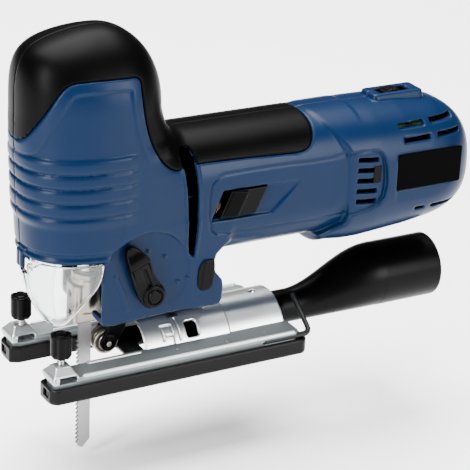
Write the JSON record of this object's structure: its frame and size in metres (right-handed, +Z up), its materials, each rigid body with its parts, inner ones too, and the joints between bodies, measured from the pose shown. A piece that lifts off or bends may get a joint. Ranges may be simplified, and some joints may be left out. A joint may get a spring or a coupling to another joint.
{
  "type": "jigsaw",
  "caption": "Barrel-grip electric jigsaw with a tilting sole, orbital lever, clear chip cover, blade in a reciprocating clamp and a rear dust adapter.",
  "frame": {"origin": "where the blade's centre line crosses the bottom plane of the sole", "axes": "+X from the blade end towards the motor's rear end, +Y towards the tool's right side, +Z up"},
  "size_m": [0.287, 0.076, 0.2525],
  "materials": {
    "blue_plastic": "fine-textured moulded nylon",
    "soft_grip": "smooth matt overmould",
    "black_plastic": "moulded",
    "inner_plastic": "moulded",
    "zinc_steel": "zinc plated",
    "cast_foot": "die cast, satin",
    "case_metal": "die cast",
    "tool_steel": "ground",
    "blade_steel": "rolled",
    "dark_steel": "blackened",
    "lamination": "stacked sheet",
    "copper": "enamelled wire",
    "bronze": "sintered",
    "brass": "pressed",
    "carbon": "pressed carbon",
    "nylon_white": "moulded",
    "board": "laminate",
    "capacitor_film": "dipped film",
    "clear_plastic": "clear moulded"
  },
  "bodies": {
    "housing": {"housing_left": "blue_plastic", "housing_right": "blue_plastic", "grip_left": "soft_grip", "grip_right": "soft_grip", "housing_screws": "dark_steel", "label_plate_left": "black_plastic", "label_plate_right": "black_plastic", "switch_module": "inner_plastic", "speed_board": "board", "capacitor": "capacitor_film", "cable_gland": "soft_grip", "stator_core": "lamination", "field_coils": "copper", "front_bearing": "zinc_steel", "rear_bearing": "zinc_steel", "rear_bearing_seat": "inner_plastic", "brush_holders": "brass", "carbon_brushes": "carbon", "gear_case": "case_metal", "gear_spindle": "tool_steel", "upper_bushing": "bronze", "lower_bushing": "bronze", "guard_pin": "zinc_steel", "fork_pin": "zinc_steel", "clamp_saddle": "zinc_steel", "clamp_bolt": "dark_steel"},
    "armature": {"armature_shaft": "tool_steel", "armature_core": "lamination", "armature_winding": "copper", "commutator": "bronze", "fan": "nylon_white"},
    "gear": {"gear_wheel": "tool_steel", "crank_disc": "tool_steel", "crank_roller": "zinc_steel"},
    "plunger": {"plunger_rod": "zinc_steel", "yoke": "tool_steel", "blade_clamp": "tool_steel", "clamp_screws": "dark_steel", "blade": "blade_steel"},
    "cover": {"chip_guard": "clear_plastic"},
    "orbital_lever": {"orbital_lever": "black_plastic", "orbital_cam": "tool_steel"},
    "fork": {"roller_fork": "dark_steel"},
    "roller": {"guide_roller": "zinc_steel"},
    "blower": {"blower_slider": "black_plastic"},
    "switch": {"switch_slider": "black_plastic", "switch_link": "inner_plastic"},
    "dial": {"speed_dial": "black_plastic"},
    "foot": {"foot": "cast_foot", "sole_shoe": "black_plastic"},
    "fence_knob_left": {"fence_knob_left": "black_plastic", "fence_screw_left": "zinc_steel"},
    "fence_knob_right": {"fence_knob_right": "black_plastic", "fence_screw_right": "zinc_steel"},
    "hex_key": {"hex_key": "dark_steel"},
    "dust_adapter": {"dust_adapter": "black_plastic"}
  },
  "joints": [
    {"name": "armature_spin", "type": "hinge", "parent": "housing", "child": "armature", "pos_m": [0.1, 0, 0.105], "axis": [1, 0, 0], "continuous": true},
    {"name": "gear_spin", "type": "hinge", "parent": "housing", "child": "gear", "pos_m": [0.025, 0, 0.1365], "axis": [1, 0, 0], "continuous": true},
    {"name": "plunger_stroke", "type": "slide", "parent": "housing", "child": "plunger", "axis": [0, 0, 1], "range_m": [-0.005, 0.015]},
    {"name": "cover_flip", "type": "hinge", "parent": "housing", "child": "cover", "pos_m": [-0.034, 0, 0.0752], "axis": [0, 1, 0], "range_deg": [0, 55]},
    {"name": "orbital_lever_turn", "type": "hinge", "parent": "housing", "child": "orbital_lever", "pos_m": [0.0256, 0, 0.0533], "axis": [0, 1, 0], "range_deg": [0, 90]},
    {"name": "fork_swing", "type": "hinge", "parent": "housing", "child": "fork", "pos_m": [0.017, 0, 0.066], "axis": [0, -1, 0], "range_deg": [0, 3], "stiffness_Nm_per_rad": 0.5, "springref_deg": -1.15},
    {"name": "roller_spin", "type": "hinge", "parent": "fork", "child": "roller", "pos_m": [0.0114, 0, 0.0152], "axis": [0, 1, 0], "continuous": true},
    {"name": "blower_slide", "type": "slide", "parent": "housing", "child": "blower", "axis": [0, 0, -1], "range_m": [0, 0.004]},
    {"name": "switch_slide", "type": "slide", "parent": "housing", "child": "switch", "axis": [-1, 0, 0], "range_m": [0, 0.004]},
    {"name": "speed_dial_turn", "type": "hinge", "parent": "housing", "child": "dial", "pos_m": [0.195, 0, 0.1329], "axis": [0, 1, 0], "range_deg": [0, 270]},
    {"name": "foot_bevel", "type": "hinge", "parent": "housing", "child": "foot", "pos_m": [0.05, 0, 0.0046], "axis": [1, 0, 0], "range_deg": [-14, 14]},
    {"name": "hex_key_swing", "type": "hinge", "parent": "foot", "child": "hex_key", "pos_m": [0.11, -0.0346, 0.0116], "axis": [1, 0, 0], "range_deg": [0, 100]},
    {"name": "dust_adapter_pull", "type": "slide", "parent": "foot", "child": "dust_adapter", "axis": [1, 0, 0], "range_m": [0, 0.02]},
    {"name": "fence_knob_left_turn", "type": "hinge", "parent": "foot", "child": "fence_knob_left", "pos_m": [-0.0275, -0.0275, 0.03], "axis": [0, 0, 1], "range_deg": [0, 1080]},
    {"name": "fence_knob_right_turn", "type": "hinge", "parent": "foot", "child": "fence_knob_right", "pos_m": [-0.0275, 0.0275, 0.03], "axis": [0, 0, 1], "range_deg": [0, 1080]}
  ],
  "couplings": [
    {"joint": "gear_spin", "follows": "armature_spin", "ratio": -0.2069}
  ]
}
